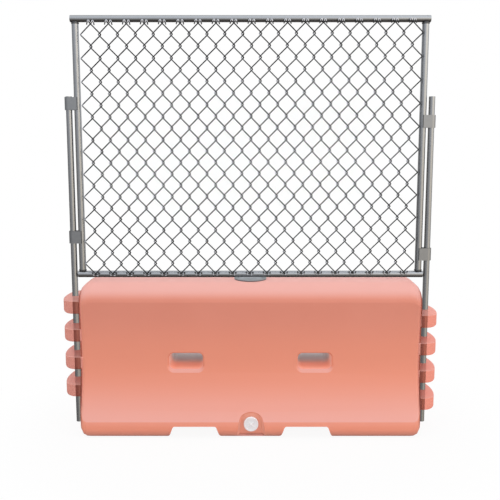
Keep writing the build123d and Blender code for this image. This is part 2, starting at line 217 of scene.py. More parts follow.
bpy.ops.object.select_all(action="DESELECT")
bpy.ops.mesh.primitive_plane_add(size=floor_size)
floor = bpy.context.object
floor.name = "studio_floor"
floor_white, tree = new_material("pale_floor")
away = add_node(tree, "ShaderNodeVectorMath", "from the middle", {"operation": "LENGTH"},
                {0: own_place(tree)})
fade = ramp(tree, "shadow fades away", away.outputs["Value"], shadow_fades, share_of_white, smooth=True)
share = product(tree, "share of white", looked_at(tree), fade)
paint = add_node(tree, "ShaderNodeBsdfDiffuse", "floor paint", values={"Color": floor_grey})
backdrop = add_node(tree, "ShaderNodeEmission", "white background", values={"Color": white})
show(tree, add_node(tree, "ShaderNodeMixShader", "looked at or lighting",
                    values={0: share, 1: paint.outputs[0], 2: backdrop.outputs[0]}))
floor.data.materials.append(floor_white)
floor.visible_glossy = False
print("studio:", studio.name, "and", floor.name)

# %% [markdown]
# ## A tent round the metal
#
# Bright metal shows nothing but its surroundings. Photographers put it in a tent of paper and shade
# parts of the tent. Ours is a large sphere that only reflections see: pale blue overhead, grey at eye
# level, nearly black below, with a warm window to the right. Cards on stands could do the same, but a
# gradient on the direction has no edges. The floor is kept out of reflections, so that the tent's dark
# lower half shows under the rails.

# %% Tent for reflections
tent_radius = 28
tent_strength, left_share = 1.5, 0.52
left_fall = (-1.0, 0.2)
window_side = (0.766, -0.643, 0.0)
window_edge = (0.6, 0.97)
window_light = (1.8, 1.63, 1.38, 1)
tent_tones = {0.0: (0.10, 0.085, 0.075), 0.16: (0.20, 0.185, 0.175), 0.33: (0.37, 0.36, 0.35),
              0.42: (0.50, 0.50, 0.50), 0.50: (0.60, 0.60, 0.61), 0.66: (1.04, 1.09, 1.18),
              1.0: (1.20, 1.25, 1.32)}

bpy.ops.object.select_all(action="DESELECT")
bpy.ops.mesh.primitive_uv_sphere_add(segments=48, ring_count=24, radius=tent_radius)
tent = bpy.context.object
tent.name = "reflection_tent"
bpy.ops.object.shade_smooth()
for ray in ("camera", "diffuse", "transmission", "volume_scatter", "shadow"):
    setattr(tent, f"visible_{ray}", False)
tent_paper, tree = new_material("tent_paper")
way = add_node(tree, "ShaderNodeVectorMath", "direction", {"operation": "NORMALIZE"}, {0: own_place(tree)})
way_parts = parts_of(tree, way.outputs[0])
height = ramp(tree, "from below to above", way_parts["Z"], (-1, 1))
tones = add_node(tree, "ShaderNodeValToRGB", "tones by height", values={0: height})
stops = tones.color_ramp.elements
for index, (spot, tone) in enumerate(tent_tones.items()):
    stop = stops[index] if index < 2 else stops.new(spot)
    stop.position = spot
    stop.color = (*tone, 1)
towards = add_node(tree, "ShaderNodeVectorMath", "towards the window", {"operation": "DOT_PRODUCT"},
                   {0: way.outputs[0], 1: window_side})
window = ramp(tree, "window", towards.outputs["Value"], window_edge, smooth=True)
warmth = mix_colours(tree, "window light", window, white, window_light)
shade = mix_colours(tree, "tones and window", 1.0, tones.outputs[0], warmth, "MULTIPLY")
fall = ramp(tree, "darker to the left", way_parts["X"], left_fall,
            (left_share * tent_strength, tent_strength))
show(tree, add_node(tree, "ShaderNodeEmission", "lit paper", values={"Color": shade, "Strength": fall}))
tent.data.materials.append(tent_paper)
print("tent:", tent.name, len(tree.nodes), "nodes")

# %% [markdown]
# ## Lamps
#
# A wide softbox overhead gives the even fall of light from the rounded top down to the foot, and a
# softer warm one from the right makes that side a little lighter than the left. Both are large, where a
# small lamp would draw hard shadows, and neither shows in the metal, which has the tent to reflect.

# %% Lamps
def soft_lamp(name, place, target, size, power, colour):
    """A rectangular lamp at a place, turned towards a target."""
    bpy.ops.object.select_all(action="DESELECT")
    bpy.ops.object.light_add(type="AREA", location=place)
    lamp = bpy.context.object
    lamp.name = name
    lamp.data.shape = "RECTANGLE"
    lamp.data.size, lamp.data.size_y = size
    lamp.data.energy = power
    lamp.data.color = colour
    lamp.rotation_euler = (Vector(target) - Vector(place)).to_track_quat("-Z", "Y").to_euler()
    lamp.visible_glossy = False
    return lamp


lamps = [
    soft_lamp("top_softbox", place=(0, -0.8, 4.4), target=(0, 0, 0.8), size=(5, 3.4),
              power=85, colour=(1, 0.99, 0.98)),
    soft_lamp("right_softbox", place=(3.4, -2.9, 1.7), target=(0, 0, 0.9), size=(2.6, 2.6),
              power=8, colour=(1, 0.94, 0.87)),
]
print("lamps:", [lamp.name for lamp in lamps])

# %% [markdown]
# ## Shared effect: settled dust and painted sheen
#
# Whatever faces the sky is made paler. Outdoors, dust settles on it and the sun bleaches it, and on the
# barrier the paler tops are also a painted sheen that stands in for the light from above. The effect
# needs only the surface's own direction, so the group reads the normal in the object's space and breaks
# the edge up with noise. It serves the barrier, the lid, the plug and the seals.

# %% Group: settled dust
thin_cover = (0.88, 1.0)

dust_and_sheen_group, given = open_group("settled_dust_and_sheen", {"Color": white, "Dust And Sheen": white, "Start": 0.2, "Full": 0.9,
                                                "Amount": 0.8, "Patch Scale": 5.0})
surface = add_node(dust_and_sheen_group, "ShaderNodeTexCoord", "place and direction").outputs
facing_up = parts_of(dust_and_sheen_group, surface["Normal"])["Z"]
rise = ramp(dust_and_sheen_group, "from side to top", facing_up, (given["Start"], given["Full"]), smooth=True)
patches = add_node(dust_and_sheen_group, "ShaderNodeTexNoise", "patches", values={
    "Vector": surface["Object"], "Scale": given["Patch Scale"], "Detail": 4.0, "Roughness": 0.6})
uneven = ramp(dust_and_sheen_group, "uneven cover", patches.outputs["Fac"], result=thin_cover)
mask = product(dust_and_sheen_group, "cover", rise, uneven, given["Amount"])
# Paler where it faces up: settled dust, and on the barrier also a painted sheen of the light from above.
dust_and_sheen_colour = mix_colours(dust_and_sheen_group, "paler colour on top", mask, given["Color"], given["Dust And Sheen"])
close_group(dust_and_sheen_group, {"Color": dust_and_sheen_colour, "Mask": mask})
print("group:", dust_and_sheen_group.name, len(dust_and_sheen_group.nodes), "nodes")

# %% [markdown]
# ## Shared effect: mould grain
#
# A rotational moulding takes the fine blasted grain of its mould, and its wall is a little thicker in
# some places than in others, which shows as slow clouds of colour. Two noises at very different
# scales do both. The fine one leaves as a height for a bump node, the slow one as a value between 0
# and 1.

# %% Group: mould grain
cloud_spread = (0.3, 0.7)

grain_group, given = open_group("mould_grain", {"Grain Scale": 700.0, "Cloud Scale": 3.0})
place = own_place(grain_group)
fine = add_node(grain_group, "ShaderNodeTexNoise", "blasted grain", values={
    "Vector": place, "Scale": given["Grain Scale"], "Detail": 2.0, "Roughness": 0.5})
slow = add_node(grain_group, "ShaderNodeTexNoise", "wall clouds", values={
    "Vector": place, "Scale": given["Cloud Scale"], "Detail": 3.0, "Roughness": 0.55})
clouds = ramp(grain_group, "spread", slow.outputs["Fac"], cloud_spread)
close_group(grain_group, {"Height": fine.outputs["Fac"], "Clouds": clouds})
print("group:", grain_group.name, len(grain_group.nodes), "nodes")

# %% [markdown]
# ## Barrier plastic: orange, washed and bleached
#
# The moulding is orange polyethylene. Its lower wall is painted lighter, which stands in for the fall of
# light down the wall. Wherever it tilts to the sky it turns paler, from dust and as a painted sheen of
# the light from above. Each of these is a mask on the piece's own place or direction, laid over the
# colour before it. A mask painted by hand would follow the real dirt, but place alone tells most of it,
# and it needs no picture file.

# %% Material: barrier plastic, orange
deep_orange, pale_orange = (0.795, 0.266, 0.178, 1), (0.815, 0.280, 0.190, 1)
painted_lower_light_orange, bleach_and_sheen = (0.895, 0.302, 0.190, 1), (0.85, 0.42, 0.365, 1)
painted_light_heights = (0.66, 0.40)

barrier_plastic, tree = new_material("barrier_plastic")
spot = parts_of(tree, own_place(tree))
reach = arithmetic(tree, "ABSOLUTE", "distance from the middle", spot["X"])
grain = add_node(tree, "ShaderNodeGroup", "grain", {"node_tree": grain_group}).outputs
orange = mix_colours(tree, "orange clouds", grain["Clouds"], deep_orange, pale_orange)
# Painted light: the lower wall is made lighter, standing in for the fall of light down it.
lower_wall = ramp(tree, "down the wall", spot["Z"], painted_light_heights, smooth=True)
painted_lower_light = mix_colours(tree, "painted light down the wall", lower_wall, orange, painted_lower_light_orange)
# Paler where it faces up: dust, and a painted sheen of the light from above.
dust_and_sheen = add_node(tree, "ShaderNodeGroup", "paler where it faces up, with painted sheen", {"node_tree": dust_and_sheen_group}, {
    "Color": painted_lower_light, "Dust And Sheen": bleach_and_sheen, "Start": 0.10, "Full": 0.70,
    "Amount": 0.95, "Patch Scale": 4.0}).outputs
print("orange:", len(tree.nodes), "nodes")

# %% [markdown]
# ## Barrier plastic: fork tunnels
#
# Two tunnels for the forks of a lift go right through the tank. Past the rim their orange is painted
# lighter against the shade inside, and a faint emission there is a painted glow on the wall. At the far
# end a grey is painted, which stands in for shade and for the reflection of the white beyond. Scattering
# inside the plastic would carry light as the real wall does, but a plain mask is easier to set.

# %% Material: barrier plastic, fork tunnels
tunnel_x, tunnel_z = 0.335, 0.380
tunnel_half_x, tunnel_half_z = 0.0895, 0.0435
past_rim, painted_shade_depth = (-0.147, -0.136), (-0.08, 0.05)
tunnel_lightened_paint, painted_tunnel_shade = (0.99, 0.47, 0.35, 1), (0.66, 0.57, 0.55, 1)
no_light, painted_tunnel_glow = (0, 0, 0, 1), (0.09, 0.035, 0.015, 1)

in_width = arithmetic(tree, "COMPARE", "in width", reach, tunnel_x, tunnel_half_x)
in_height = arithmetic(tree, "COMPARE", "in height", spot["Z"], tunnel_z, tunnel_half_z)
inside = ramp(tree, "past the rim", spot["Y"], past_rim, smooth=True)
tunnel = product(tree, "in the tunnel", in_width, in_height, inside)
far_end = product(tree, "far end", tunnel, ramp(tree, "from the front", spot["Y"], painted_shade_depth, smooth=True))
near_end = arithmetic(tree, "SUBTRACT", "front of the tunnel", tunnel, far_end)
# Painted light: the tunnel's orange is made lighter against the shade inside it.
paint = mix_colours(tree, "tunnel lightened against its shade", tunnel, dust_and_sheen["Color"], tunnel_lightened_paint)
# Painted shade and reflection: a grey at the far end of the tunnel.
paint = mix_colours(tree, "painted shade at the far end", far_end, paint, painted_tunnel_shade)
# Painted glow: a faint emission on the tunnel wall, though it is no lamp.
painted_glow = mix_colours(tree, "painted emission on the tunnel wall", near_end, no_light, painted_tunnel_glow)
print("tunnels:", len(tree.nodes), "nodes")

# %% [markdown]
# ## Barrier plastic: foot and drain recess
#
# The foot is painted darker near the ground, a painted shade. The drain's arched recess in the lip is
# painted lighter, against the shade that falls into it. The recess is found as the space behind the lip's
# own slope, between the sill and the arch. A separate material on its faces would be simpler, but the
# imported mesh is left as it is.

# %% Material: barrier plastic, foot and recess
plug_low, plug_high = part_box("drain_plug")
drain_x = (plug_low.x + plug_high.x) / 2
foot_shade_heights, foot_shade_share = (0.05, 0.004), 0.55
painted_foot_shade, recess_lightened_paint = (0.55, 0.31, 0.27, 1), (0.97, 0.42, 0.295, 1)
crease_y, crease_z, lip_slope, lip_front = -0.2434, 0.084, 0.63, -0.2464
behind_lip, recess_side, front_half = (0.002, 0.009), (0.072, 0.066), -0.15
arch_heights, sill_heights = (0.129, 0.126), (0.010, 0.018)

# Painted shade: the foot is made darker near the ground.
low = ramp(tree, "near the ground", spot["Z"], foot_shade_heights, smooth=True)
foot_shade = product(tree, "foot_shade", low, foot_shade_share)
paint = mix_colours(tree, "painted shade at the foot", foot_shade, paint, painted_foot_shade)
slope_y = arithmetic(tree, "MULTIPLY_ADD", "lip's slope", spot["Z"], lip_slope,
                     crease_y - lip_slope * crease_z)
lip_y = arithmetic(tree, "MAXIMUM", "lip's front", slope_y, lip_front)
depth = arithmetic(tree, "SUBTRACT", "depth", spot["Y"], lip_y)
from_drain = arithmetic(tree, "SUBTRACT", "from the drain", spot["X"], drain_x)
aside = arithmetic(tree, "ABSOLUTE", "off the drain", from_drain)
recess = product(
    tree, "in the recess",
    ramp(tree, "behind the lip", depth, behind_lip, smooth=True),
    ramp(tree, "beside the drain", aside, recess_side, smooth=True),
    arithmetic(tree, "LESS_THAN", "at the front", spot["Y"], front_half),
    ramp(tree, "under the arch", spot["Z"], arch_heights, smooth=True),
    ramp(tree, "over the sill", spot["Z"], sill_heights, smooth=True))
# Painted light: the recess is made lighter against the shade inside it.
paint = mix_colours(tree, "recess lightened against its shade", recess, paint, recess_lightened_paint)
print("foot and recess:", len(tree.nodes), "nodes")

# %% [markdown]
# ## Barrier plastic: clear ends
#
# The plastic is faintly clear: at the ends one sees the pins through it as dark red bars. Scattering
# can't show a bar behind a wall, so the shader is mixed there with a tinted clear one. The tint is the
# plastic's own orange, so that white behind the wall looks like the wall and only dark things show. It
# is deeper at the tank's rounded edge, where one looks a long way through the wall. On the right
# knuckles it is painted lighter, a painted light for their sunlit side. Dust makes the tops less clear.
# Where no dust lies, the end's own colour is painted deep red, a painted shade for the pins seen dark
# through the wall. Only the first wall that a ray meets is tinted, and those behind it are fully clear,
# or the hollow knuckles would show their insides. A ray may then pass many walls in a row.

# %% Material: barrier plastic, clear ends
end_start, knuckle_start = (0.866, 0.880), (0.892, 0.886)
sunny_side, rounded_edge = (0.884, 0.892), (0.25, 0.60)
painted_end_shade, edge_tint = (0.85, 0.17, 0.10, 1), (0.22, 0.05, 0.025, 1)
shady_tint, sunny_tint = (0.60, 0.283, 0.236, 1), (0.895, 0.349, 0.266, 1)
clearness, dusty_share = 0.76, 0.55
walls_in_a_row = 32

end_zone = ramp(tree, "at the end", reach, end_start, smooth=True)
no_dust = arithmetic(tree, "SUBTRACT", "no dust", 1.0, dust_and_sheen["Mask"])
undusted = product(tree, "undusted end", end_zone, no_dust)
# Painted shade: where no dust lies, the end's colour is deep red for the pins seen dark through it.
paint = mix_colours(tree, "painted shade at the ends", undusted, paint, painted_end_shade)
ray = add_node(tree, "ShaderNodeLightPath", "what looks").outputs
side = add_node(tree, "ShaderNodeNewGeometry", "which side").outputs
later = arithmetic(tree, "MINIMUM", "a later wall", ray["Transparent Depth"], 1.0)
inner = arithmetic(tree, "MAXIMUM", "later or back", later, side["Backfacing"])
first_wall = ramp(tree, "less clear on top", dust_and_sheen["Mask"], result=(clearness, dusty_share * clearness))
wall = ramp(tree, "first or later wall", inner, result=(first_wall, 1))
clear_share = arithmetic(tree, "MAXIMUM", "clear share", later, product(tree, "clear end", end_zone, wall))
# Painted light: the right knuckles get a lighter tint for their sunlit side.
sunny = ramp(tree, "right knuckles", spot["X"], sunny_side)
end_tint = mix_colours(tree, "shady or sunny end", sunny, shady_tint, sunny_tint)
turned_away = add_node(tree, "ShaderNodeLayerWeight", "turned away").outputs["Facing"]
long_way = product(tree, "long way through", ramp(tree, "edge", turned_away, rounded_edge, smooth=True),
                   ramp(tree, "tank, not knuckle", reach, knuckle_start, smooth=True))
end_tint = mix_colours(tree, "deep at the edge", long_way, end_tint, edge_tint)
tint = mix_colours(tree, "tint of the wall", inner, end_tint, white)
scene.cycles.transparent_max_bounces = walls_in_a_row
print("clear ends:", len(tree.nodes), "nodes")

# %% [markdown]
# ## Barrier plastic: surface
#
# The wall is satin, and the dusty tops are less shiny than the sides. The grain is far too fine to
# model, so it is a bump. With that the plastic is complete, and its shader is mixed with the clear one.

# %% Material: barrier plastic, surface
satin_span, matt_dust = (0.38, 0.46), 0.78

satin = ramp(tree, "satin", grain["Clouds"], result=satin_span)
gloss = ramp(tree, "dusty gloss", dust_and_sheen["Mask"], result=(satin, matt_dust))
bump = add_node(tree, "ShaderNodeBump", "grain bump", values={
    "Strength": 0.10, "Distance": 0.0004, "Height": grain["Height"]})
plastic = add_node(tree, "ShaderNodeBsdfPrincipled", "plastic", values={
    "Base Color": paint, "Roughness": gloss, "Normal": bump.outputs["Normal"], "IOR": 1.5,
    "Emission Color": painted_glow, "Emission Strength": 1.0})
clear = add_node(tree, "ShaderNodeBsdfTransparent", "see through", values={"Color": tint})
show(tree, add_node(tree, "ShaderNodeMixShader", "plastic or clear",
                    values={0: clear_share, 1: plastic.outputs[0], 2: clear.outputs[0]}))
print("material:", barrier_plastic.name, len(tree.nodes), "nodes")

# %% [markdown]
# ## Shared effect: zinc spangle
#
# Hot-dipped zinc freezes in crystals a centimetre or so across, each of a slightly different grey, and
# runs down in faint streaks before it sets. Voronoi cells with one random value each are the crystals,
# and a noise stretched along Z gives the runs. Tubes, straps, wire and welds share the group, each
# with its own crystal size.

# %% Group: zinc spangle
run_scale = (60, 60, 5)
run_share = 0.45

zinc_group, given = open_group("zinc_spangle", {"Dark": white, "Light": white, "Crystals": 90.0,
                                                "Smooth": 0.28, "Dull": 0.4})
place = own_place(zinc_group)
crystals = add_node(zinc_group, "ShaderNodeTexVoronoi", "crystals", values={
    "Vector": place, "Scale": given["Crystals"]})
grey = add_node(zinc_group, "ShaderNodeSeparateColor", "one value each", values={
    0: crystals.outputs["Color"]})
stretch = add_node(zinc_group, "ShaderNodeMapping", "runs down", values={
    "Vector": place, "Scale": run_scale})
runs = add_node(zinc_group, "ShaderNodeTexNoise", "runs", values={
    "Vector": stretch.outputs[0], "Scale": 1.0, "Detail": 3.0}).outputs["Fac"]
shade = add_node(zinc_group, "ShaderNodeMix", "crystal and run", {"data_type": "FLOAT"},
                 {0: run_share, 2: grey.outputs[0], 3: runs}).outputs[0]
tone = mix_colours(zinc_group, "zinc tone", shade, given["Dark"], given["Light"])
gloss = ramp(zinc_group, "gloss", shade, result=(given["Smooth"], given["Dull"]))
close_group(zinc_group, {"Color": tone, "Roughness": gloss, "Height": runs})
print("group:", zinc_group.name, len(zinc_group.nodes), "nodes")

# %% [markdown]
# ## Painted highlights on hooks and bends
#
# The wire is dark on its long runs and painted bright in two places, as painted highlights where its
# curves face the sky: on the hooks over the rails and on the bends at its left side. A mask on place would
# have to know the whole weave, so each wire's mesh carries an attribute for the painted highlight, which
# is written where the wire is modelled below. It fades along the runs, and the ramp keeps only what is
# close to a bend.

# %% Painted highlights on hooks and bends
# Colour of the painted highlight on the wire.
painted_highlight_zinc = (0.47, 0.475, 0.50, 1)
close_to_bend = (0.57, 0.72)


def painted_bend_highlights(tree, tone):
    """The wire's tone, with a painted highlight on its hooks and left bends."""
    # Painted highlight: the wire's tone is made bright on its hooks and left bends.
    worn = add_node(tree, "ShaderNodeAttribute", "hooks and left bends", {"attribute_name": "painted_highlight"})
    there = ramp(tree, "only there", worn.outputs["Fac"], close_to_bend, smooth=True)
    return mix_colours(tree, "painted highlights on hooks and bends", there, tone, painted_highlight_zinc)


print("painted highlight zinc:", painted_highlight_zinc[:3])

# %% [markdown]
# ## Ground joints of the uprights
#
# The uprights' ends are ground flush with the rails, so that a rail runs on unbroken past the joint.
# Within a rail's height the upright therefore takes the rail's rounding as its normal. The metal could
# be cut away there instead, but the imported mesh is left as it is.

# %% Rounding of the near rail
top_rail_low, top_rail_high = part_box("top_rail")
foot_rail_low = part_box("bottom_rail")[0]
rail_radius = (top_rail_high.z - top_rail_low.z) / 2
top_rail_z = top_rail_low.z + rail_radius
foot_rail_z = foot_rail_low.z + rail_radius
half_way = (foot_rail_z + top_rail_z) / 2


def rail_rounding(tree):
    """The upright's own normal, or the rail's where a rail passes."""
    spot = parts_of(tree, own_place(tree))
    upper = arithmetic(tree, "GREATER_THAN", "upper half", spot["Z"], half_way)
    rail_z = ramp(tree, "level of the near rail", upper, result=(foot_rail_z, top_rail_z))
    off_rail = arithmetic(tree, "SUBTRACT", "off the near rail", spot["Z"], rail_z)
    rise = arithmetic(tree, "DIVIDE", "in rail radii", off_rail, rail_radius)
    near = arithmetic(tree, "COMPARE", "within the rail", rise, 0.0, 1.0)
    left_over = arithmetic(tree, "SUBTRACT", "what is left", 1.0, product(tree, "squared", rise, rise))
    run = product(tree, "to the near side", arithmetic(tree, "SQRT", "front share", left_over),
                  arithmetic(tree, "SIGN", "front or back", spot["Y"]))
    rounding = add_node(tree, "ShaderNodeCombineXYZ", "rail's rounding", values={"Y": run, "Z": rise})
    turned = add_node(tree, "ShaderNodeVectorTransform", "to the world",
                      {"vector_type": "NORMAL", "convert_from": "OBJECT", "convert_to": "WORLD"},
                      {0: rounding.outputs[0]})
    own = add_node(tree, "ShaderNodeNewGeometry", "own rounding")
    return add_node(tree, "ShaderNodeMix", "ground joint", {"data_type": "VECTOR"},
                    {0: near, 4: own.outputs["Normal"], 5: turned.outputs[0]}).outputs[1]


print("rails at", round(foot_rail_z, 4), "and", round(top_rail_z, 4), "m, radius", round(rail_radius, 4), "m")

# %% [markdown]
# ## Galvanised finishes
#
# Tubes and pins are smooth and bright, the flat straps duller, the fence wire finer and darker, and
# the welds are brushed with zinc paint. All come from one function, which sets the group's values and
# takes the wire's and the upright's own touches from the two functions above. The tint at the edge of
# the metal's reflection is one value for the whole surface, so it is set on the shader's own socket.

# %% Materials: galvanised steel
brown_edge = (0.34, 0.31, 0.28, 1)
run_depth = 0.0005
tube_tones = (0.287, 0.293, 0.299, 1), (0.305, 0.310, 0.316, 1)
strap_tones = (0.240, 0.244, 0.248, 1), (0.268, 0.272, 0.276, 1)
wire_tones = (0.028, 0.029, 0.031, 1), (0.050, 0.052, 0.054, 1)
weld_tones = (0.085, 0.086, 0.087, 1), (0.130, 0.131, 0.132, 1)
tube_gloss, strap_gloss, wire_gloss, weld_gloss = (0.26, 0.29), (0.36, 0.44), (0.26, 0.36), (0.40, 0.55)


def galvanised(name, tones, gloss, crystals, bump_strength, touch=None, rounding=None):
    """A zinc-coated metal. touch changes its tone, and rounding gives it another normal to bump."""
    material, tree = new_material(name)
    zinc = add_node(tree, "ShaderNodeGroup", "zinc", {"node_tree": zinc_group}, {
        "Dark": tones[0], "Light": tones[1], "Smooth": gloss[0], "Dull": gloss[1],
        "Crystals": crystals}).outputs
    relief = {"Strength": bump_strength, "Distance": run_depth, "Height": zinc["Height"]}
    if rounding:
        relief["Normal"] = rounding(tree)
    bump = add_node(tree, "ShaderNodeBump", "runs of zinc", values=relief)
    show(tree, add_node(tree, "ShaderNodeBsdfPrincipled", "metal", values={
        "Base Color": touch(tree, zinc["Color"]) if touch else zinc["Color"], "Metallic": 1.0,
        "Roughness": zinc["Roughness"], "Specular Tint": brown_edge, "Normal": bump.outputs["Normal"]}))
    return material


tube_zinc = galvanised("galvanised_tube", tube_tones, tube_gloss, crystals=60, bump_strength=0.01)
post_zinc = galvanised("galvanised_upright", tube_tones, tube_gloss, crystals=60, bump_strength=0.01,
                       rounding=rail_rounding)
strap_zinc = galvanised("galvanised_strap", strap_tones, strap_gloss, crystals=80, bump_strength=0.05)
wire_zinc = galvanised("galvanised_wire", wire_tones, wire_gloss, crystals=260, bump_strength=0.03,
                       touch=painted_bend_highlights)
weld_zinc = galvanised("zinc_painted_weld", weld_tones, weld_gloss, crystals=400, bump_strength=0.20)
print("materials:", [m.name for m in (tube_zinc, post_zinc, strap_zinc, wire_zinc, weld_zinc)])

# %% [markdown]
# ## Lid, plug and seals
#
# The lid is grey and the drain plug white, both injection moulded, so they carry the mould grain at a
# finer scale and a little dust. The seals are plain black rubber, dull and slightly grey where dust
# sits. One function serves all three, because only colours and gloss differ.

# %% Materials: lid, plug and rubber
lid_tones = (0.21, 0.225, 0.236, 1), (0.26, 0.275, 0.288, 1)
plug_tones = (0.91, 0.92, 0.93, 1), (0.95, 0.955, 0.96, 1)
rubber_tones = (0.020, 0.020, 0.021, 1), (0.032, 0.031, 0.030, 1)
lid_dust, plug_dust, rubber_dust = (0.34, 0.355, 0.37, 1), (0.88, 0.87, 0.85, 1), (0.10, 0.095, 0.09, 1)


def moulded(name, tones, dust_colour, dust_amount, gloss, grain_scale):
    """A moulded plastic or rubber with clouds of tone, grain and settled dust."""
    material, tree = new_material(name)
    grain = add_node(tree, "ShaderNodeGroup", "grain", {"node_tree": grain_group}, {
        "Grain Scale": grain_scale, "Cloud Scale": 14.0}).outputs
    dust_and_sheen = add_node(tree, "ShaderNodeGroup", "dust_and_sheen", {"node_tree": dust_and_sheen_group}, {
        "Color": mix_colours(tree, "tone", grain["Clouds"], *tones), "Dust And Sheen": dust_colour,
        "Amount": dust_amount, "Patch Scale": 25.0})
    bump = add_node(tree, "ShaderNodeBump", "grain bump", values={
        "Strength": 0.1, "Distance": 0.0002, "Height": grain["Height"]})
    show(tree, add_node(tree, "ShaderNodeBsdfPrincipled", "body", values={
        "Base Color": dust_and_sheen.outputs["Color"], "Roughness": ramp(tree, "gloss", grain["Clouds"], result=gloss),
        "IOR": 1.49, "Normal": bump.outputs["Normal"]}))
    return material


lid_grey = moulded("lid_grey", lid_tones, lid_dust,
                   dust_amount=0.6, gloss=(0.38, 0.5), grain_scale=900)
plug_white = moulded("plug_white", plug_tones, plug_dust,
                     dust_amount=0.25, gloss=(0.22, 0.3), grain_scale=1200)
seal_rubber = moulded("seal_rubber", rubber_tones, rubber_dust,
                      dust_amount=0.4, gloss=(0.55, 0.7), grain_scale=1500)
print("materials:", [m.name for m in (lid_grey, plug_white, seal_rubber)])

# %% [markdown]
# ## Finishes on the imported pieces
#
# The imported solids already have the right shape, so they only change their material. A table of name
# endings keeps this to a few lines. The fence wires are left out: they get new meshes below. The bottom
# rail lies so close over the tank that its shadow would draw a hard dark line there, which the soft
# light of an open sky would wash out, so it casts none. The tank is left out of reflections, so that
# the pins beside it keep their bright side, as they would with white paper held between them.

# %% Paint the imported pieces
finish_of = {
    "barrier_shell": barrier_plastic, "fill_lid": lid_grey, "fill_lid_seal": seal_rubber,
    "drain_plug": plug_white, "drain_seal": seal_rubber,
}
for name in nodes:
    if name.endswith(("_rail", "_pin", "_plug")):
        finish_of.setdefault(name, tube_zinc)
    elif name.endswith("_upright"):
        finish_of[name] = post_zinc
    elif name.endswith("_bracket"):
        finish_of[name] = strap_zinc
for name, finish in finish_of.items():
    nodes[name].data.materials.clear()
    nodes[name].data.materials.append(finish)
nodes["bottom_rail"].visible_shadow = False
nodes["bottom_rail"].visible_diffuse = False
nodes["barrier_shell"].visible_glossy = False
print("painted:", len(finish_of), "packed pieces")

# %% [markdown]
# ## Helpers for new pieces
#
# Operators act on whatever is selected, so each step first selects just one piece. A copy gets a mesh
# of its own, because each piece is finished at the origin with its place in its mesh. Linked copies
# would be lighter, but they could not be moved that way.

# %% Helpers for new pieces
def pick(piece):
    """Selects one piece alone and makes it the active one."""
    bpy.ops.object.select_all(action="DESELECT")
    piece.select_set(True)
    bpy.context.view_layer.objects.active = piece


def copy_of(piece, name, shift):
    """A copy with a mesh of its own, moved on by a shift."""
    pick(piece)
    bpy.ops.object.duplicate(linked=False)
    twin = bpy.context.object
    twin.name = name
    twin.location = twin.location + Vector(shift)
    return twin


def dress(piece, finish, body):
    """Puts the piece's place into its mesh, and gives it a finish and a body."""
    pick(piece)
    bpy.ops.object.transform_apply(location=True, rotation=True, scale=True)
    piece.data.materials.clear()
    piece.data.materials.append(finish)
    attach(piece, body)


print("piece helpers ready")

# %% [markdown]
# ## Route of a wire
#
# Chain link is wire bent to a flat zigzag. Each wire is turned into the one before it, so at every
# bend the two hook round each other: runs that fall to the right lie in front, runs that fall to the
# left behind, and a short bend joins them. Both ends are hooked round the rails. The fabric was hung by
# hand, so it leans a little to the left at its foot and its rows climb a little to the right. The
# packed wires give the pitch and the depth, and the two rails give the height.

# %% Route of a wire
wire_names = sorted(name for name in nodes if name.startswith("mesh_wire"))
wire_lows, wire_highs = zip(*(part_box(name) for name in wire_names))
half_pitch = (wire_lows[-1].x - wire_lows[1].x) / (len(wire_names) - 2)
wire_radius = 0.0031
diamond_rows = 11
under_top_rail, over_foot_rail, behind_packed_front = 0.0175, 0.0052, 0.00217
fabric_top, fabric_foot = top_rail_z - under_top_rail, foot_rail_z + over_foot_rail
half_row = (fabric_top - fabric_foot) / (2 * diamond_rows)
fabric_lean, row_rise = 0.0078, 0.0062
front_y = wire_lows[0].y + behind_packed_front
back_y = front_y + 2 * wire_radius
bend_overshoot, bend_half = 0.0055, 0.0020
tail_x, tail_z = 0.0185, -0.011
hook_x, neck_x, neck_drop = 0.0125, 0.006, 0.001
top_hook_rise, foot_hook_rise = 0.012, 0.007


def wire_route(side):
    """Points of one wire about x = 0, from its top hook to its foot hook, both on the side given."""
    def hook(level, up, rise):
        shape = ((tail_x, tail_z), (hook_x, rise), (neck_x, rise - neck_drop), (bend_overshoot, 0.0))
        return [(side * (half_pitch / 2 + x), level + up * z) for x, z in shape]

    top_hook = hook(fabric_top, 1, top_hook_rise)
    foot_hook = hook(fabric_foot, -1, foot_hook_rise)[::-1]
    corners = [((-side if row % 2 else side) * (half_pitch / 2 + bend_overshoot), fabric_top - row * half_row)
               for row in range(1, 2 * diamond_rows)]
    stops = [top_hook[-1], *corners, foot_hook[0]]
    planes = [front_y if end[0] > start[0] else back_y for start, end in zip(stops, stops[1:])]
    points = [(x, planes[0], z) for x, z in top_hook]
    for (x, z), before, after in zip(corners, planes, planes[1:]):
        points += [(x, before, z + bend_half), (x, after, z - bend_half)]
    points += [(x, planes[-1], z) for x, z in foot_hook]
    return [Vector((x - fabric_lean * (fabric_top - z), y, z)) for x, y, z in points]


diamond = [round(2000 * half, 2) for half in (half_pitch, half_row)]
print("route:", len(wire_route(1)), "points, diamonds of", diamond, "mm")

# %% [markdown]
# ## One woven wire
#
# The imported wires are square and stand for the collision. Here one corner point is extruded along the
# route, its corners are rounded with a vertex bevel, and the line becomes a curve with a round section.
# Sweeping a profile along a path would do the same. The attribute for the painted highlights on the hooks
# and bends is written last. Two wires, one for each side of the top hook, serve for the whole fabric.

# %% Model the two wires
bend_rounding = 0.0030
hook_start = 0.002
crease_angle = 50


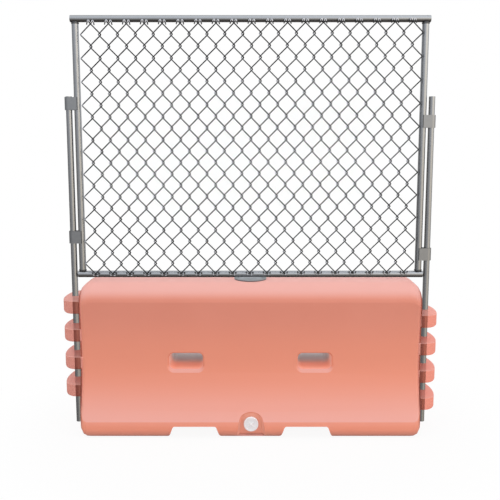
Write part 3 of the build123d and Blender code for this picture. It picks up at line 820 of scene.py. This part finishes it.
def painted_highlight_at(spot):
    """1 on the hooks and at the left bends, falling to 0 along the runs."""
    off_line = spot.x + fabric_lean * (fabric_top - spot.z)
    level = min(fabric_top - spot.z, spot.z - fabric_foot)
    if level < -hook_start:
        return 1
    if level < half_row / 2:
        return 0
    return min(max((-off_line - half_pitch / 2) / bend_overshoot, 0), 1)


def round_wire(name, points):
    """Extrudes one corner point along a route, rounds the corners and gives it a round section."""
    bpy.ops.object.select_all(action="DESELECT")
    bpy.ops.mesh.primitive_plane_add(size=0.01, location=(0, 0, 0))
    wire = bpy.context.object
    wire.name = name
    bpy.ops.object.mode_set(mode="EDIT")
    bpy.ops.mesh.select_all(action="SELECT")
    bpy.ops.mesh.merge(type="CENTER")
    bpy.ops.transform.translate(value=points[0])
    for start, end in zip(points, points[1:]):
        bpy.ops.mesh.extrude_region_move(TRANSFORM_OT_translate={"value": end - start})
    bpy.ops.mesh.select_all(action="SELECT")
    bpy.ops.mesh.bevel(offset=bend_rounding, segments=2, affect="VERTICES")
    bpy.ops.object.mode_set(mode="OBJECT")
    bpy.ops.object.convert(target="CURVE")
    wire.data.bevel_depth = wire_radius
    wire.data.bevel_resolution = 2
    wire.data.use_fill_caps = True
    bpy.ops.object.convert(target="MESH")
    bpy.ops.object.shade_smooth_by_angle(angle=math.radians(crease_angle))
    # Each point gets its share of the painted highlight.
    painted_highlight = wire.data.attributes.new("painted_highlight", "FLOAT", "POINT")
    for vertex, share in zip(wire.data.vertices, painted_highlight.data):
        share.value = painted_highlight_at(vertex.co)
    return wire


patterns = {side: round_wire(name, wire_route(side))
            for side, name in ((1, "wire_pattern_right"), (-1, "wire_pattern_left"))}
for pattern in patterns.values():
    print(pattern.name, len(pattern.data.polygons), "faces")

# %% [markdown]
# ## Weave the fabric
#
# Each wire is a copy of one of the two patterns with a mesh of its own, moved half a diamond on from
# the last. An Array could repeat them, but each wire is a piece of its own, as it is when a fence is
# mended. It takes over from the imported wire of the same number.

# %% Copy the wires across the panel
fabric_middle = (wire_lows[0].x + wire_highs[-2].x + wire_lows[1].x + wire_highs[-1].x) / 4
for index, name in enumerate(wire_names):
    off_middle = (index - (len(wire_names) - 1) / 2) * half_pitch
    wire = copy_of(patterns[-1 if index % 2 else 1], name.replace("mesh_wire", "woven_wire"),
                   (fabric_middle + off_middle, 0, row_rise * off_middle))
    dress(wire, wire_zinc, "fence_panel")
    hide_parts(name)
for pattern in patterns.values():
    bpy.data.objects.remove(pattern)
print("woven:", len(wire_names), "wires", round(half_pitch * 1000, 2), "mm apart")

# %% [markdown]
# ## Weld rings
#
# Where the ground end of an upright leaves the rail, a ring of weld is left standing. It is a torus sunk
# into the tube, and noise makes it uneven, as a hand-laid bead is. One is modelled and copied to the
# other three joints. A bead swept along the exact seam would be truer, but the seam is ground away.

# %% Model the weld rings
post_low, post_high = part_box("right_upright")
post_radius = (post_high.x - post_low.x) / 2
post_x = (post_high.x + post_low.x) / 2
ring_radius, ring_sunk = 0.0045, 0.0020
ripple_size, ripple_height = 0.004, 0.0012
ring_z = foot_rail_z + rail_radius + ring_radius
to_top = top_rail_z - foot_rail_z - 2 * (rail_radius + ring_radius)

ripple = bpy.data.textures.new("weld_ripple", "CLOUDS")
ripple.noise_scale = ripple_size
bpy.ops.object.select_all(action="DESELECT")
bpy.ops.mesh.primitive_torus_add(major_segments=96, minor_segments=16, major_radius=post_radius - ring_sunk,
                                 minor_radius=ring_radius, location=(-post_x, 0, ring_z))
first_ring = bpy.context.object
first_ring.name = "left_foot_weld"
bpy.ops.object.modifier_add(type="DISPLACE")
uneven = first_ring.modifiers[-1]
uneven.texture = ripple
uneven.strength = ripple_height
bpy.ops.object.modifier_apply(modifier=uneven.name)
bpy.ops.object.shade_smooth()
rings = [first_ring, copy_of(first_ring, "left_top_weld", (0, 0, to_top)),
         copy_of(first_ring, "right_foot_weld", (2 * post_x, 0, 0)),
         copy_of(first_ring, "right_top_weld", (2 * post_x, 0, to_top))]
for ring in rings:
    dress(ring, weld_zinc, "fence_panel")
print("rings:", [ring.name for ring in rings], [round(v, 4) for v in first_ring.dimensions])

# %% [markdown]
# ## Weld beads at the straps
#
# Each strap's two legs end on an upright and are held by a short vertical weld, laid bead by bead. One
# flattened ball repeated by an Array is the whole weld. A strip with a bump would be lighter, but its
# edge would be straight. The weld is copied to the front and the back of all four straps.

# %% Model and copy the strap welds
bead_radius, bead_step, bead_count = 0.0022, 0.0027, 24
bead_shape = (1.15, 1.0, 0.85)
weld_inset, weld_y = 0.0012, 0.0186

bpy.ops.object.select_all(action="DESELECT")
bpy.ops.mesh.primitive_uv_sphere_add(segments=12, ring_count=8, radius=bead_radius, location=(0, 0, 0))
weld = bpy.context.object
weld.name = "strap_weld"
bpy.ops.object.mode_set(mode="EDIT")
bpy.ops.mesh.select_all(action="SELECT")
bpy.ops.transform.resize(value=bead_shape)
bpy.ops.transform.translate(value=(0, 0, -bead_step * (bead_count - 1) / 2))
bpy.ops.object.mode_set(mode="OBJECT")
bpy.ops.object.modifier_add(type="ARRAY")
row = weld.modifiers[-1]
row.count = bead_count
row.use_relative_offset = False
row.use_constant_offset = True
row.constant_offset_displace = (0, 0, bead_step)
bpy.ops.object.modifier_apply(modifier=row.name)
bpy.ops.object.shade_smooth()
welds = []
for side_name, sign in (("left", -1), ("right", 1)):
    for level_name in ("upper", "lower"):
        low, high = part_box(f"{side_name}_{level_name}_bracket")
        for face_name, face in (("front", -1), ("back", 1)):
            place = (sign * (post_x - weld_inset), face * weld_y, (low.z + high.z) / 2)
            welds.append(copy_of(weld, f"{side_name}_{level_name}_{face_name}_weld", place))
bpy.data.objects.remove(weld)
for piece in welds:
    dress(piece, weld_zinc, "fence_panel")
print("strap welds:", len(welds), "of", len(welds[0].data.polygons), "faces")

# %% [markdown]
# ## Grip of the drain plug
#
# The plug is turned by hand, so its face carries a low cross to push against. It starts as a block whose
# four sides are extruded, is turned by 45 degrees, and gets rounded edges so that it catches the light
# softly. Half of its depth stands in the plug.

# %% Model the plug's grip
plug_z = (plug_low.z + plug_high.z) / 2
face_depth = 0.003
arm_width, arm_length, grip_height, grip_edge = 0.0065, 0.020, 0.0022, 0.0008
grip_turn, grip_crease = 45, 40

bpy.ops.object.select_all(action="DESELECT")
bpy.ops.mesh.primitive_cube_add(size=arm_width, location=(0, 0, 0))
grip = bpy.context.object
grip.name = "drain_plug_grip"
for polygon in grip.data.polygons:
    polygon.select = abs(polygon.normal.y) < 0.5
bpy.ops.object.mode_set(mode="EDIT")
bpy.ops.mesh.select_mode(type="FACE")
bpy.ops.mesh.extrude_faces_move(TRANSFORM_OT_shrink_fatten={"value": arm_length - arm_width / 2})
bpy.ops.mesh.select_all(action="SELECT")
bpy.ops.transform.resize(value=(1, 2 * grip_height / arm_width, 1))
bpy.ops.transform.rotate(value=math.radians(grip_turn), orient_axis="Y", center_override=(0, 0, 0))
bpy.ops.mesh.bevel(offset=grip_edge, segments=3, affect="EDGES")
bpy.ops.object.mode_set(mode="OBJECT")
bpy.ops.object.shade_smooth_by_angle(angle=math.radians(grip_crease))
grip.location = (drain_x, plug_low.y + face_depth, plug_z)
dress(grip, plug_white, "drain_plug")
print("grip:", [round(v, 4) for v in grip.dimensions])
